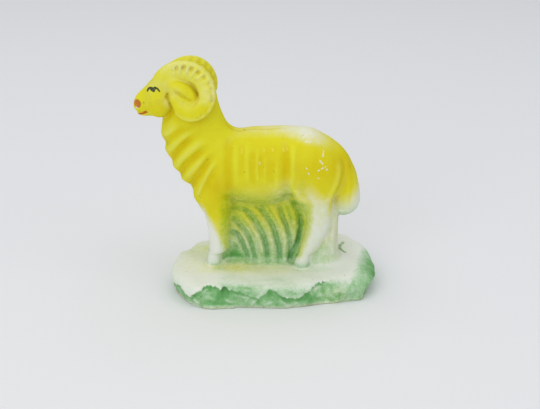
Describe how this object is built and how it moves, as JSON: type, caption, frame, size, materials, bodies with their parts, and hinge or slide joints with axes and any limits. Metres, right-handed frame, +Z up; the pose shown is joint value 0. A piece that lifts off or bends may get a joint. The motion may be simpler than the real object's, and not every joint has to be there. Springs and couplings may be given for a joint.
{
  "type": "sheep figurine",
  "caption": "Free-standing bisque figurine of a ram with curled horns, standing over a grass support on a rock plinth with a flat underside.",
  "frame": {"origin": "centre of the part's bounding box, on the flat underside of the plinth", "axes": "+Z up; -X towards the ram's nose; -Y the ram's left side"},
  "size_m": [0.0922, 0.0524, 0.0896],
  "materials": {
    "yellow_bisque": "matt unglazed bisque, airbrushed yellow",
    "white_bisque": "matt unglazed bisque, faded yellow to bare white",
    "green_bisque": "matt unglazed bisque, airbrushed green over white"
  },
  "bodies": {
    "root": {"rock_base": "green_bisque", "torso": "yellow_bisque", "neck": "yellow_bisque", "head": "yellow_bisque", "left_horn": "yellow_bisque", "right_horn": "yellow_bisque", "left_ear": "yellow_bisque", "right_ear": "yellow_bisque", "left_foreleg": "white_bisque", "right_foreleg": "white_bisque", "left_hind_leg": "white_bisque", "right_hind_leg": "white_bisque", "tail": "yellow_bisque", "grass_panel": "green_bisque", "grass_clump": "green_bisque"}
  },
  "joints": []
}
